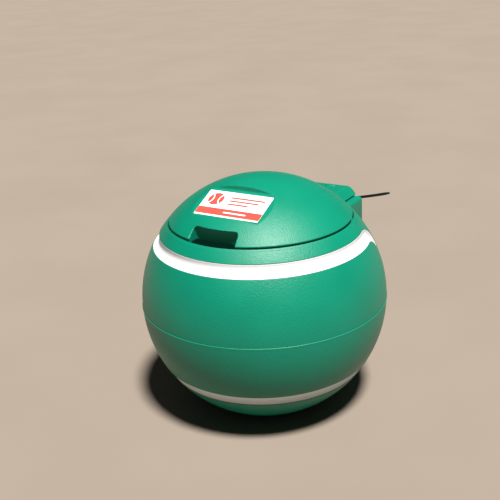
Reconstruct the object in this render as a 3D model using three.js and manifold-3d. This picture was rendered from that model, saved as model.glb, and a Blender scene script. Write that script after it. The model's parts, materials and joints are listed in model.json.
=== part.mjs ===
// A ball-shaped litter bin for a tennis court, hung on a round fence post.
//
// The bin is a rotomoulded polyethylene ball. Its lower part is a hollow shell with a collar,
// a groove that holds a white band, and a mounting block that grows out of its back. The band
// is the ball's seam: it goes round the front high up and low down, and joins up at each side.
// The lid is the top of the ball. It turns on a pin at the rear edge of a tongue, between two
// ears that stand on the mounting block. A steel plate is bolted to the back of the block,
// and two nylon ties pass through its slots and round the post.
//
// Millimetres, +Z up, +Y towards the post. The origin is the centre of the plate's rear face.

import * as THREE from "three";
import { mergeVertices } from "three/addons/utils/BufferGeometryUtils.js";
import Module from "manifold-3d";

const wasm = await Module();
wasm.setup();

// ---- driving dimensions ----

const BALL_R = 200;            // outside radius of the ball
const WALL = 5;                // thickness of the moulded wall
const GAP = 0.3;               // space left between neighbours that touch
const TURNS = 48;              // flats round a large round piece
const ARC_STEP = 7;            // degrees between the points of a sphere's outline
const BEND_STEPS = [0, 0.143, 0.286, 0.429, 0.571, 0.714, 0.857, 1];   // along a corner of the seam
const BAND_STEPS = [1, 0.67, 0.33, 0, -0.33, -0.67, -1];              // across the band's face

const BASE_Z = -188;           // flat underside of the ball
const RIDGE_PROUD = 0.8;       // height of the ridge where the mould parts
const RIDGE_Z = [-9, -0.7, 0.5];   // its foot, its crest and its upper edge

const BAND_LAT = 32.1;         // degrees above and below the middle that the band goes round at
const BAND_LON = 121.8;        // degrees from the front that it goes up and down at
const BAND_BEND = 15.8;        // angular radius of its four corners, degrees
const GROOVE_HALF = 10.9;      // half width of the groove that holds it
const GROOVE_DEPTH = 8;
const BAND_SUNK = 0.4;         // how far the band's edges lie below the groove's
const BAND_HOLLOW = 5;         // how far its face curves in
const GROOVE_SLOPE = 14;       // width of the slopes beside the groove's wall, inside the ball

const LID_R = 147;             // the lid's rim
const SKIRT_R = 145;           // lower edge of its skirt
const MOUTH_R = 148;           // inside of the collar round the lid
const LEDGE_R = 136;           // inside of the ledge that the lid rests on
const LEDGE_Z = 124;           // top of the ledge
const LEDGE_UNDER = 117.5;     // underside of the ledge at its inner edge
const LEDGE_ROOT = 105;        // where that underside meets the wall

const BLOCK_HALF = 84.5;       // half width of the mounting block
const BLOCK_TOP = 117;         // top of the block, under the tongue
const BLOCK_TOP_HALF = 81;     // half width of the block at its top
const BLOCK_SLOPE = [3, 3];    // how far its top slopes off at the rear, along and down
const BLOCK_EDGE = 3.5;        // how far it slopes down to the sides
const BLOCK_FOOT = [22, 24];   // the slopes at its lower corners, across and up
const BLOCK_UNDER = [28, 37];  // the slope under its rear, along and up
const BLOCK_FROM = 120;        // how far in it starts, behind the ball's centre
const BLOCK_BACK = 204;        // rear face of the block, behind the ball's centre
const BLOCK_LOW = -92;         // where the block's underside meets the ball

const TONGUE_TOP = 135;        // flat top of the lid's tongue
const TONGUE_LOW = 119;        // its underside
const TONGUE_TOP_HALF = 59.5;  // half width at the top
const TONGUE_LOW_HALF = 74;    // half width at the bottom
const KNUCKLE_R = 8;           // hinge knuckles
const TONGUE_CHAMFER = [3, 4]; // the slope at its rear lower edge, along and up
const TONGUE_SPARE = 2;        // room round the tongue
const HINGE_Y = 195.5;         // hinge axis, behind and above the ball's centre
const HINGE_Z = TONGUE_TOP - KNUCKLE_R;
const EAR_IN = 20.5;           // an ear stands between these distances from the middle
const EAR_OUT = 38.5;
const PIN_R = 4;
const PIN_END = 51;            // blind end of the pin
const PIN_START = -58;         // end that the pin is pushed in from

const LABEL_TILT = 24;         // slope of the label's flat, degrees
const LABEL_FLAT = 188.7;      // distance of the flat from the ball's centre
const LABEL_RECESS = [-32, 37];  // the flat's extent down and up its slope
const LABEL_SIZE = [114, 56, 0.4];
const LABEL_UP = 1.8;          // the label's middle, up the slope

const SLOT_HALF = 41.5;        // half width of the finger slot in the lid's front edge
const SLOT_TOP_HALF = 39;
const SLOT_TOP = 151.5;
const SLOT_CORNER = 6;
const SLOT_BACK = -118;        // face of the slot's rear wall
const SLOT_WALL_LOW = 128;     // lower edge of that wall
const POCKET_WALL = 4;         // thickness of the slot's own walls

const PLATE = [132, 156, 4];   // width, height and thickness of the rear plate
const PLATE_Z = 32;            // its middle, above the ball's centre
const BOLT_X = 50;             // bolts either side of the middle
const BOLT_Z = 44;             // bolts above and below the plate's middle
const BOLT_R = 3;
const HEAD_R = 5.8;
const HEAD_H = 2.8;
const SPREADER = [130, 118, 2];
const TIE_Z = 67;              // ties above and below the plate's middle
const TIE_WIDTH = 4.8;
const TIE_THICK = 1.4;
const TIE_SLOT = 4;            // half height of the slots that a tie passes through
const TIE_SLOT_HALF = 42;      // half length and depth of the channel for it in the block
const TIE_SLOT_DEPTH = 3;
const POST_R = 30;             // the post that the ties go round
const TIE_ROOM = 1.5;          // space between it and the middle of a tie's thickness
const TIE_HEAD = [6.5, 8, 8];  // a tie's head, across, along the post's back and up
const TIE_HEAD_Y = 20;         // its middle, behind the plate
const TAIL_LENGTH = 94;        // loose end of the upper tie
const TAIL_RISE = 13;          // degrees
const DRAIN_R = 5;
const DRAIN_AT = 28;

const BALL_BACK = BLOCK_BACK + GAP + PLATE[2];   // from the ball's centre to the rear face

// ---- materials ----

const green = new THREE.MeshStandardMaterial({ color: 0x00a37a, roughness: 0.5, metalness: 0 });
const white = new THREE.MeshStandardMaterial({ color: 0xf4f4f6, roughness: 0.45, metalness: 0 });
const labelWhite = new THREE.MeshStandardMaterial({ color: 0xfafafa, roughness: 0.3, metalness: 0 });
const steel = new THREE.MeshStandardMaterial({ color: 0xa9adb0, roughness: 0.35, metalness: 1 });
const zinc = new THREE.MeshStandardMaterial({ color: 0xb9bdc0, roughness: 0.3, metalness: 1 });
const nylon = new THREE.MeshStandardMaterial({ color: 0x141416, roughness: 0.5, metalness: 0 });
const bushNylon = new THREE.MeshStandardMaterial({ color: 0xe6e2d8, roughness: 0.45, metalness: 0 });

// ---- solids ----

const rad = THREE.MathUtils.degToRad;

// A closed three.js geometry as a manifold solid.
function solid(geometry) {
  const bare = geometry.index ? geometry.toNonIndexed() : geometry.clone();
  bare.deleteAttribute("normal");
  bare.deleteAttribute("uv");
  const merged = mergeVertices(bare, 1e-4);
  const index = merged.index.array;
  const kept = [];
  for (let i = 0; i < index.length; i += 3) {
    const [a, b, c] = [index[i], index[i + 1], index[i + 2]];
    if (a !== b && b !== c && c !== a) kept.push(a, b, c);
  }
  const vertProperties = new Float32Array(merged.attributes.position.array);
  const triVerts = new Uint32Array(kept);
  return new wasm.Manifold(new wasm.Mesh({ numProp: 3, vertProperties, triVerts }));
}

// A manifold solid, or a plain geometry, as a named mesh.
function mesh(name, shape, material) {
  const body = shape.isBufferGeometry ? solid(shape) : shape;
  const { vertProperties, triVerts } = body.getMesh();
  const geometry = new THREE.BufferGeometry();
  geometry.setAttribute("position", new THREE.BufferAttribute(new Float32Array(vertProperties), 3));
  geometry.setIndex(new THREE.BufferAttribute(new Uint32Array(triVerts), 1));
  geometry.computeVertexNormals();
  const result = new THREE.Mesh(geometry, material);
  result.name = name;
  return result;
}

// A profile of [radius, height] points, turned round the Z axis.
function turned(profile, turns = TURNS) {
  const points = profile.map(([r, z]) => new THREE.Vector2(r, z));
  const geometry = new THREE.LatheGeometry(points, turns);
  return geometry.rotateX(Math.PI / 2);
}

// A closed outline of [a, b] points as a shape, with round holes as [a, b, radius].
function outline(points, holes = []) {
  const shape = new THREE.Shape(points.map(([a, b]) => new THREE.Vector2(a, b)));
  for (const [a, b, r] of holes) {
    shape.holes.push(new THREE.Path().absarc(a, b, r, 0, 2 * Math.PI, true));
  }
  return shape;
}

const extruded = (shape, depth, curveSegments = 6) =>
  new THREE.ExtrudeGeometry(shape, { depth, bevelEnabled: false, curveSegments });

// An outline drawn in X and Z, extruded along Y from one value to another.
const alongY = (shape, from, to) => extruded(shape, to - from).rotateX(Math.PI / 2).translate(0, to, 0);

// An outline drawn in Y and Z, extruded along X from one value to another.
function alongX(shape, from, to) {
  const turn = new THREE.Matrix4().set(0, 0, 1, from, 1, 0, 0, 0, 0, 1, 0, 0, 0, 0, 0, 1);
  return extruded(shape, to - from).applyMatrix4(turn);
}

// A box between two corners.
function box(low, high) {
  const size = high.map((value, i) => value - low[i]);
  const middle = high.map((value, i) => (value + low[i]) / 2);
  return new THREE.BoxGeometry(...size).translate(...middle);
}

// A round bar along X or Y.
function bar(axis, radius, from, to, sides = 16) {
  const geometry = new THREE.CylinderGeometry(radius, radius, to - from, sides);
  geometry.translate(0, (from + to) / 2, 0);
  return axis === "x" ? geometry.rotateZ(-Math.PI / 2) : geometry;
}

// Points on a sphere's outline between two heights.
function arc(radius, fromZ, toZ) {
  const from = Math.asin(fromZ / radius);
  const to = Math.asin(toZ / radius);
  const steps = Math.max(1, Math.round(Math.abs(to - from) / rad(ARC_STEP)));
  const points = [];
  for (let i = 0; i <= steps; i += 1) {
    const angle = from + (to - from) * i / steps;
    points.push([radius * Math.cos(angle), radius * Math.sin(angle)]);
  }
  return points;
}

const ringRadius = (radius, z) => Math.sqrt(radius * radius - z * z);

// ---- the ball ----

function outerBall() {
  const [foot, crest, edge] = RIDGE_Z;
  return solid(turned([
    [0, BASE_Z],
    ...arc(BALL_R, BASE_Z, foot),
    [BALL_R + RIDGE_PROUD, crest],
    ...arc(BALL_R, edge, ringRadius(BALL_R, MOUTH_R)),
    [0, ringRadius(BALL_R, MOUTH_R)],
  ]));
}

// The space inside the wall, which opens through the ledge and the collar.
function innerBall() {
  return solid(turned([
    [0, BASE_Z + WALL],
    ...arc(BALL_R - WALL, BASE_Z + WALL, LEDGE_ROOT),
    [LEDGE_R, LEDGE_UNDER],
    [LEDGE_R, LEDGE_Z],
    [MOUTH_R, LEDGE_Z],
    [MOUTH_R, BALL_R],
    [0, BALL_R],
  ]));
}

// ---- the seam ----

// A direction from the ball's centre, from its angle off the front and its height angle.
function onSphere(lon, lat) {
  const level = Math.cos(lat);
  return new THREE.Vector3(level * Math.sin(lon), -level * Math.cos(lon), Math.sin(lat));
}

// Angles from one to another, in steps of about the ball's own.
function spread(from, to) {
  const steps = Math.ceil(Math.abs(to - from) / rad(360 / TURNS));
  return Array.from({ length: steps + 1 }, (_, i) => from + (to - from) * i / steps);
}

// The seam's middle line, as directions from the ball's centre. A quarter of it runs along a
// parallel, round a bend and down a meridian, and the other three mirror that.
function seamLine() {
  const bend = rad(BAND_BEND);
  const [lat, lon] = [rad(BAND_LAT), rad(BAND_LON)];
  const bendLat = lat - bend;
  const toMeridian = Math.asin(Math.sin(bend) / Math.cos(bendLat));
  const bendLon = lon - toMeridian;
  const middle = onSphere(bendLon, bendLat);
  const sweep = Math.atan2(1, Math.sin(bendLat) * Math.tan(toMeridian));
  const meetsMeridian = Math.atan(Math.tan(bendLat) / Math.cos(toMeridian));
  const quarter = [
    ...spread(0, bendLon).slice(0, -1).map((angle) => onSphere(angle, lat)),
    ...BEND_STEPS.map((t) => onSphere(bendLon, lat).applyAxisAngle(middle, -sweep * t)),
    ...spread(meetsMeridian, 0).slice(1).map((angle) => onSphere(lon, angle)),
  ];
  const lower = quarter.slice(0, -1).reverse().map((p) => new THREE.Vector3(p.x, p.y, -p.z));
  const half = [...quarter, ...lower];
  const left = half.slice(1, -1).reverse().map((p) => new THREE.Vector3(-p.x, p.y, p.z));
  return [...half, ...left];
}

// A section swept round the seam. Its points are [across, depth]: across the groove's middle
// line, and below the chord between the groove's edges.
function alongSeam(section) {
  const line = seamLine();
  const chord = ringRadius(BALL_R, GROOVE_HALF);
  const points = line.map((out, i) => {
    const run = line[(i + 1) % line.length].clone().sub(line.at(i - 1));
    const across = out.clone().cross(run).normalize();
    return section.map(([a, depth]) =>
      out.clone().multiplyScalar(chord - depth).addScaledVector(across, a));
  });
  const index = [];
  const count = section.length;
  for (let i = 0; i < line.length; i += 1) {
    const next = (i + 1) % line.length;
    for (let k = 0; k < count; k += 1) {
      const after = (k + 1) % count;
      const [a, b] = [i * count + k, i * count + after];
      const [c, d] = [next * count + k, next * count + after];
      index.push(a, b, d, a, d, c);
    }
  }
  const geometry = new THREE.BufferGeometry().setFromPoints(points.flat());
  return solid(geometry.setIndex(index));
}

const grooveCutter = () => alongSeam([
  [-GROOVE_HALF, -WALL], [-GROOVE_HALF, GROOVE_DEPTH],
  [GROOVE_HALF, GROOVE_DEPTH], [GROOVE_HALF, -WALL],
]);

// The wall follows the groove inside the ball too.
function grooveWall() {
  const top = WALL / 2;
  const deep = GROOVE_DEPTH + WALL;
  const foot = GROOVE_HALF + GROOVE_SLOPE;
  return alongSeam([[-foot, top], [-GROOVE_HALF, deep], [GROOVE_HALF, deep], [foot, top]]);
}

function seamBand() {
  const half = GROOVE_HALF - GAP;
  const face = BAND_STEPS.map((t) => [half * t, BAND_SUNK + BAND_HOLLOW * (1 - t * t)]);
  return alongSeam([[-half, GROOVE_DEPTH - GAP], [half, GROOVE_DEPTH - GAP], ...face]);
}

// ---- the mounting block ----

// The block, or the hollow inside it when inset is the wall's thickness.
function block(inset) {
  const top = BLOCK_TOP - inset;
  const half = BLOCK_HALF - inset;
  const topHalf = BLOCK_TOP_HALF - inset;
  const back = BLOCK_BACK - inset;
  const low = BLOCK_LOW + inset;
  const [footIn, footUp] = BLOCK_FOOT;
  const front = [
    [-topHalf, top], [-half, top - BLOCK_EDGE], [-half, low + footUp], [-half + footIn, low],
    [half - footIn, low], [half, low + footUp], [half, top - BLOCK_EDGE], [topHalf, top],
  ];
  const [topIn, topDown] = BLOCK_SLOPE;
  const [underIn, underUp] = BLOCK_UNDER;
  const side = [
    [BLOCK_FROM, top], [back - topIn, top], [back, top - topDown],
    [back, low + underUp], [back - underIn, low], [BLOCK_FROM, low],
  ];
  const seenFromFront = solid(alongY(outline(front), BLOCK_FROM, back));
  const seenFromSide = solid(alongX(outline(side), -half, half));
  return seenFromFront.intersect(seenFromSide);
}

// The tongue's section is wider below, so that its sides slope.
function tongueBar() {
  const section = [
    [-TONGUE_LOW_HALF, TONGUE_LOW],
    [TONGUE_LOW_HALF, TONGUE_LOW],
    [TONGUE_TOP_HALF, TONGUE_TOP],
    [-TONGUE_TOP_HALF, TONGUE_TOP],
  ];
  return solid(alongY(outline(section), 110, 230));
}

// The space behind the mouth that the tongue lifts out of.
function tonguePassage() {
  const half = TONGUE_LOW_HALF + TONGUE_SPARE;
  const space = solid(box([-half, 120, TONGUE_LOW - TONGUE_SPARE], [half, 230, TONGUE_TOP]));
  const mouth = MOUTH_R - 0.1;
  return space.subtract(solid(turned([[0, 0], [mouth, 0], [mouth, BALL_R], [0, BALL_R]])));
}

// The side view that rounds the tongue's end off round the hinge pin.
function tongueOutline(fromY) {
  const shape = new THREE.Shape();
  shape.moveTo(fromY, TONGUE_LOW);
  const [along, up] = TONGUE_CHAMFER;
  shape.lineTo(HINGE_Y + KNUCKLE_R - along, TONGUE_LOW);
  shape.lineTo(HINGE_Y + KNUCKLE_R, TONGUE_LOW + up);
  shape.absarc(HINGE_Y, HINGE_Z, KNUCKLE_R, 0, Math.PI / 2, false);
  shape.lineTo(fromY, TONGUE_TOP);
  return shape;
}

// The side view of an ear: a post with a round top, whose foot is in the block's wall.
function earOutline() {
  const shape = new THREE.Shape();
  shape.moveTo(HINGE_Y - KNUCKLE_R, BLOCK_TOP - WALL);
  shape.lineTo(HINGE_Y + KNUCKLE_R, BLOCK_TOP - BLOCK_SLOPE[1] - 1);
  shape.absarc(HINGE_Y, HINGE_Z, KNUCKLE_R, 0, Math.PI, false);
  return shape;
}

// ---- the bin's body ----

function bodyShell() {
  let outer = outerBall().add(block(0)).subtract(grooveCutter()).subtract(tonguePassage());
  for (const side of [-1, 1]) {
    const [from, to] = side < 0 ? [-EAR_OUT, -EAR_IN] : [EAR_IN, EAR_OUT];
    outer = outer.add(solid(alongX(earOutline(), from, to)));
    outer = outer.subtract(solid(bar("x", PIN_R + 1.5, from - 1, to + 1).translate(0, HINGE_Y, HINGE_Z)));
  }
  let shell = outer.subtract(innerBall().subtract(grooveWall()).add(block(WALL)));
  for (const x of [-DRAIN_AT, DRAIN_AT]) {
    for (const y of [-DRAIN_AT, DRAIN_AT]) {
      const hole = bar("y", DRAIN_R, BASE_Z - WALL, BASE_Z + 2 * WALL).rotateX(Math.PI / 2);
      shell = shell.subtract(solid(hole.translate(x, y, 0)));
    }
  }
  for (const [x, z] of boltPlaces()) {
    shell = shell.subtract(solid(bar("y", BOLT_R + 0.5, 190, 210).translate(x, 0, z)));
  }
  for (const z of [PLATE_Z - TIE_Z, PLATE_Z + TIE_Z]) {
    const channel = box(
      [-TIE_SLOT_HALF, BLOCK_BACK - TIE_SLOT_DEPTH, z - TIE_SLOT],
      [TIE_SLOT_HALF, BLOCK_BACK + 1, z + TIE_SLOT],
    );
    shell = shell.subtract(solid(channel));
  }
  return shell;
}

function boltPlaces() {
  const places = [];
  for (const z of [PLATE_Z + BOLT_Z, PLATE_Z - BOLT_Z]) {
    for (const x of [-BOLT_X, BOLT_X]) places.push([x, z]);
  }
  return places;
}

// ---- the lid ----

// A box on the label's flat: across, from and to up the slope, from a height to above the dome.
function onFlat(half, fromV, toV, height) {
  const geometry = box([-half, fromV, height], [half, toV, height + 60]);
  return geometry.rotateX(rad(LABEL_TILT));
}

// The slot's outline, seen from the front, grown by its wall when asked.
function slotOutline(grow, lowZ) {
  const low = SLOT_HALF + grow;
  const high = SLOT_TOP_HALF + grow;
  const top = SLOT_TOP + grow;
  const shape = new THREE.Shape();
  shape.moveTo(-low, lowZ);
  shape.lineTo(low, lowZ);
  shape.lineTo(high + 0.5, top - SLOT_CORNER);
  shape.quadraticCurveTo(high, top, high - SLOT_CORNER, top);
  shape.lineTo(-high + SLOT_CORNER, top);
  shape.quadraticCurveTo(-high, top, -high - 0.5, top - SLOT_CORNER);
  return shape;
}

function lidShell() {
  const inner = BALL_R - WALL;
  const skirtLow = LEDGE_Z + GAP;
  const [recessLow, recessHigh] = LABEL_RECESS;
  const dome = solid(turned([
    [0, skirtLow], [SKIRT_R, skirtLow], ...arc(BALL_R, ringRadius(BALL_R, LID_R), BALL_R),
  ]));
  const recess = solid(onFlat(90, recessLow, recessHigh, LABEL_FLAT));
  const underRecess = solid(onFlat(95, recessLow - WALL, recessHigh + WALL, LABEL_FLAT - WALL));
  const slot = solid(alongY(slotOutline(0, 110), -180, SLOT_BACK));
  const pocket = solid(alongY(slotOutline(POCKET_WALL, SLOT_WALL_LOW), -180, SLOT_BACK + POCKET_WALL));
  const skirtIn = SKIRT_R - WALL;
  const hollow = solid(turned([
    [0, skirtLow - 5], [skirtIn, skirtLow - 5], ...arc(inner, ringRadius(inner, skirtIn), inner),
  ])).subtract(underRecess).subtract(pocket);
  const shell = dome.subtract(recess).subtract(hollow).subtract(slot);
  return shell.add(lidTongue());
}

// The tongue reaches from the dome over the collar to the hinge.
function lidTongue() {
  const clearOfLedge = solid(turned([
    [0, 100], [MOUTH_R + 2.5, 100], [MOUTH_R + 2.5, LEDGE_Z + 0.8], [0, LEDGE_Z + 0.8],
  ]));
  const insideLid = solid(turned([[0, 100], [SKIRT_R - 2, 100], [SKIRT_R - 2, 160], [0, 160]]));
  let part = tongueBar().intersect(solid(alongX(tongueOutline(100), -90, 90)));
  part = part.subtract(clearOfLedge).subtract(insideLid);
  for (const [from, to] of [[-EAR_OUT - 1, -EAR_IN + 1], [EAR_IN - 1, EAR_OUT + 1]]) {
    part = part.subtract(solid(box([from, HINGE_Y - KNUCKLE_R - 1.5, 110], [to, 220, 150])));
  }
  const bore = bar("x", PIN_R + GAP, -90, PIN_END + 0.5).translate(0, HINGE_Y, HINGE_Z);
  return part.subtract(solid(bore));
}

function labelPlate() {
  const [width, height, thick] = LABEL_SIZE;
  const low = LABEL_FLAT + GAP;
  const plate = box(
    [-width / 2, LABEL_UP - height / 2, low],
    [width / 2, LABEL_UP + height / 2, low + thick],
  );
  return plate.rotateX(rad(LABEL_TILT));
}

// ---- the hinge ----

function hingePin() {
  return bar("x", PIN_R, PIN_START, PIN_END).translate(0, HINGE_Y, HINGE_Z);
}

function pinPlug() {
  return bar("x", PIN_R, PIN_START - 4, PIN_START - GAP).translate(0, HINGE_Y, HINGE_Z);
}

function hingeBush(side) {
  const [from, to] = side < 0 ? [-EAR_OUT, -EAR_IN] : [EAR_IN, EAR_OUT];
  const outer = solid(bar("x", PIN_R + 1.5 - GAP, from + 0.2, to - 0.2));
  const tube = outer.subtract(solid(bar("x", PIN_R + GAP, from - 1, to + 1)));
  return tube.translate([0, HINGE_Y, HINGE_Z]);
}

// ---- the rear plate and its fasteners ----

const plateFront = BLOCK_BACK + GAP;
const plateBack = plateFront + PLATE[2];

function backPlate() {
  const [width, height] = PLATE;
  const corner = 10;
  const shape = new THREE.Shape();
  const [w, h] = [width / 2, height / 2];
  shape.moveTo(-w + corner, -h);
  shape.absarc(w - corner, -h + corner, corner, -Math.PI / 2, 0, false);
  shape.absarc(w - corner, h - corner, corner, 0, Math.PI / 2, false);
  shape.absarc(-w + corner, h - corner, corner, Math.PI / 2, Math.PI, false);
  shape.absarc(-w + corner, -h + corner, corner, Math.PI, 1.5 * Math.PI, false);
  let plate = solid(alongY(shape, plateFront, plateBack).translate(0, 0, PLATE_Z));
  for (const [x, z] of boltPlaces()) {
    plate = plate.subtract(countersunk(0.4).translate([x, 0, z]));
  }
  for (const side of [-1, 1]) {
    for (const z of [PLATE_Z - TIE_Z, PLATE_Z + TIE_Z]) {
      const x = side * (POST_R + TIE_ROOM);
      const slot = box([x - 2.2, plateFront - 1, z - TIE_SLOT], [x + 2.2, plateBack + 1, z + TIE_SLOT]);
      plate = plate.subtract(solid(slot));
    }
  }
  return plate;
}

// A countersunk bolt, or the hole for one when spare is more than nothing.
function countersunk(spare) {
  const head = new THREE.CylinderGeometry(HEAD_R + spare, BOLT_R + spare, HEAD_H, 16);
  head.translate(0, plateBack - HEAD_H / 2, 0);
  return solid(bar("y", BOLT_R + spare, 182, plateBack - HEAD_H + 0.5)).add(solid(head));
}

function spreaderPlate() {
  const [width, height, thick] = SPREADER;
  const back = BLOCK_BACK - WALL - GAP;
  let plate = solid(box(
    [-width / 2, back - thick, PLATE_Z - height / 2],
    [width / 2, back, PLATE_Z + height / 2],
  ));
  for (const [x, z] of boltPlaces()) {
    plate = plate.subtract(solid(bar("y", BOLT_R + 0.4, 185, 205).translate(x, 0, z)));
  }
  return plate;
}

const washerBack = BLOCK_BACK - WALL - GAP - SPREADER[2] - GAP;
const nutBack = washerBack - 1.6 - GAP;

// A washer or a nut, along Y.
function ringOf(sides, outerR, from, to) {
  const hole = solid(bar("y", BOLT_R + 0.3, from - 1, to + 1));
  return solid(bar("y", outerR, from, to, sides)).subtract(hole);
}

// ---- the ties ----

// A tie's loop, seen from above: straight behind the plate's front, then round the post.
function tieLoop(offset) {
  const r = POST_R + TIE_ROOM + offset;
  const front = -PLATE[2] - GAP - 2 - offset;
  const corner = 3 + offset;
  const shape = new THREE.Shape();
  shape.moveTo(-r + corner, front);
  shape.absarc(r - corner, front + corner, corner, -Math.PI / 2, 0, false);
  shape.absarc(0, POST_R, r, 0, Math.PI, false);
  shape.absarc(-r + corner, front + corner, corner, Math.PI, 1.5 * Math.PI, false);
  return shape;
}

function cableTie(tailLength) {
  const half = TIE_WIDTH / 2;
  const outer = solid(extruded(tieLoop(TIE_THICK / 2), TIE_WIDTH, 10).translate(0, 0, -half));
  const inner = solid(extruded(tieLoop(-TIE_THICK / 2), TIE_WIDTH + 2, 10).translate(0, 0, -half - 1));
  const headX = POST_R + TIE_ROOM;
  const [across, along, up] = TIE_HEAD;
  const head = solid(box(
    [headX - 0.5, TIE_HEAD_Y - along / 2, -up / 2],
    [headX - 0.5 + across, TIE_HEAD_Y + along / 2, up / 2],
  ));
  const tail = box(
    [0, TIE_HEAD_Y - TIE_THICK / 2, -half],
    [tailLength, TIE_HEAD_Y + TIE_THICK / 2, half],
  );
  tail.rotateY(-rad(TAIL_RISE)).translate(headX + 1, 0, 0);
  return outer.subtract(inner).add(head).add(solid(tail));
}

// ---- the assembly ----

const bin = new THREE.Group();
const ball = new THREE.Group();
ball.position.set(0, -BALL_BACK, -PLATE_Z);
bin.add(ball);

ball.add(mesh("body_shell", bodyShell(), green));
ball.add(mesh("seam_band", seamBand(), white));
ball.add(mesh("lid_shell", lidShell(), green));
ball.add(mesh("lid_label", labelPlate(), labelWhite));
ball.add(mesh("hinge_pin", hingePin(), steel));
ball.add(mesh("hinge_pin_plug", pinPlug(), green));
ball.add(mesh("hinge_bush_left", hingeBush(-1), bushNylon));
ball.add(mesh("hinge_bush_right", hingeBush(1), bushNylon));
ball.add(mesh("back_plate", backPlate(), steel));
ball.add(mesh("spreader_plate", spreaderPlate(), steel));

boltPlaces().forEach(([x, z], i) => {
  const bolt = mesh(`plate_bolt_${i + 1}`, countersunk(0), zinc);
  const washer = mesh(`plate_washer_${i + 1}`, ringOf(16, 6.2, washerBack - 1.6, washerBack), zinc);
  const nut = mesh(`plate_nut_${i + 1}`, ringOf(6, 5.8, nutBack - 5.5, nutBack), zinc);
  for (const piece of [bolt, washer, nut]) {
    piece.position.set(x, 0, z);
    ball.add(piece);
  }
});

const upperTie = mesh("upper_cable_tie", cableTie(TAIL_LENGTH), nylon);
upperTie.position.set(0, 0, TIE_Z);
const lowerTie = mesh("lower_cable_tie", cableTie(TAIL_LENGTH / 3), nylon);
lowerTie.position.set(0, 0, -TIE_Z);
bin.add(upperTie, lowerTie);

export default bin;
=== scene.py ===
"""A ball-shaped litter bin with a hinged lid: the looks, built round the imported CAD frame.

Shapes are made in millimetres in the ball's own frame (origin at the ball's centre), and are
scaled and moved to the row's frame, in metres, when they are placed on their body.
"""

import json
import math

import bmesh
import bpy
import numpy as np
from mathutils import Matrix, Vector


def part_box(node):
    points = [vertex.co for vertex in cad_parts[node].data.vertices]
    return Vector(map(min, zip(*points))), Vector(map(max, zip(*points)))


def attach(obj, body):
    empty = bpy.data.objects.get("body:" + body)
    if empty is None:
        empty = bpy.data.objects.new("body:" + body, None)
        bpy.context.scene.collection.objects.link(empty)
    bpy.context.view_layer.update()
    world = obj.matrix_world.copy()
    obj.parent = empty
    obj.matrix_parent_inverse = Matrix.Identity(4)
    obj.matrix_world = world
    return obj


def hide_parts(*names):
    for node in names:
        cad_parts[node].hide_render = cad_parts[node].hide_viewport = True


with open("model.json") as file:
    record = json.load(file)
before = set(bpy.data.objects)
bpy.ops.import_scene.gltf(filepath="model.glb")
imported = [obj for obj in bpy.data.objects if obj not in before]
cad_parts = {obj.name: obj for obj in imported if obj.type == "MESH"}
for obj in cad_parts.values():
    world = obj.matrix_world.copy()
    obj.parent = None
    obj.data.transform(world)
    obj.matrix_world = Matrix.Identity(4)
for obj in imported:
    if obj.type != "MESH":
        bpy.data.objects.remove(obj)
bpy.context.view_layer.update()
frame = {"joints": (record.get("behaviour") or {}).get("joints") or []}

MM = 0.001
GAP = 0.3  # clearance between fitted pieces
SHY = 0.1  # how far a face stays inside the CAD's own
WELD = 1e-4  # points closer than this become one
ON_AXIS = 1e-6
ARC_STEP = 15  # degrees between the points on an outline's round corners
SIDE_SHARE = 0.48  # the most of a side that a round corner may take
BEVEL_ANGLE = 35  # edges sharper than this get a bevel
UP = Vector((0, 0, 1))

# ---- places and sizes from the frame ----

body_low, body_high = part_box("body_shell")
lid_low, lid_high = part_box("lid_shell")
plate_low, plate_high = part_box("back_plate")
hinge = Vector(frame["joints"][0]["pos_m"])

RIDGE_PROUD = 0.8  # the mould line's height, which makes the ball's widest place
SKIRT_STEP = 3
BALL_R = body_high.x / MM - RIDGE_PROUD
CENTRE = Vector((0, body_low.y + body_high.x, lid_high.z - BALL_R * MM))
BASE_Z = (body_low.z - CENTRE.z) / MM
HINGE_Y = (hinge.y - CENTRE.y) / MM
HINGE_Z = (hinge.z - CENTRE.z) / MM
PLATE_FRONT = (plate_low.y - CENTRE.y) / MM
PLATE_BACK = (plate_high.y - CENTRE.y) / MM
PLATE_Z = ((plate_low.z + plate_high.z) / 2 - CENTRE.z) / MM
PLATE_W = (plate_high.x - plate_low.x) / MM
PLATE_H = (plate_high.z - plate_low.z) / MM
LID_R = lid_high.x / MM - SHY
LID_LOW = (lid_low.z - CENTRE.z) / MM
SKIRT_R = LID_R - SKIRT_STEP


def ball_frame_box(node):
    """A node's lowest and highest corners, in millimetres from the ball's centre."""
    low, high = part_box(node)
    return (low - CENTRE) / MM, (high - CENTRE) / MM


SPREADER_LOW, SPREADER_HIGH = ball_frame_box("spreader_plate")
BOLT_TIP = ball_frame_box("plate_bolt_1")[0].y
WASHER_SPAN = [corner.y for corner in ball_frame_box("plate_washer_1")]
NUT_SPAN = [corner.y for corner in ball_frame_box("plate_nut_1")]

# ---- the pieces' own sizes ----
#
# Millimetres and degrees. An R is a radius, and a height or a Y is counted from the ball's centre.

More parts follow.
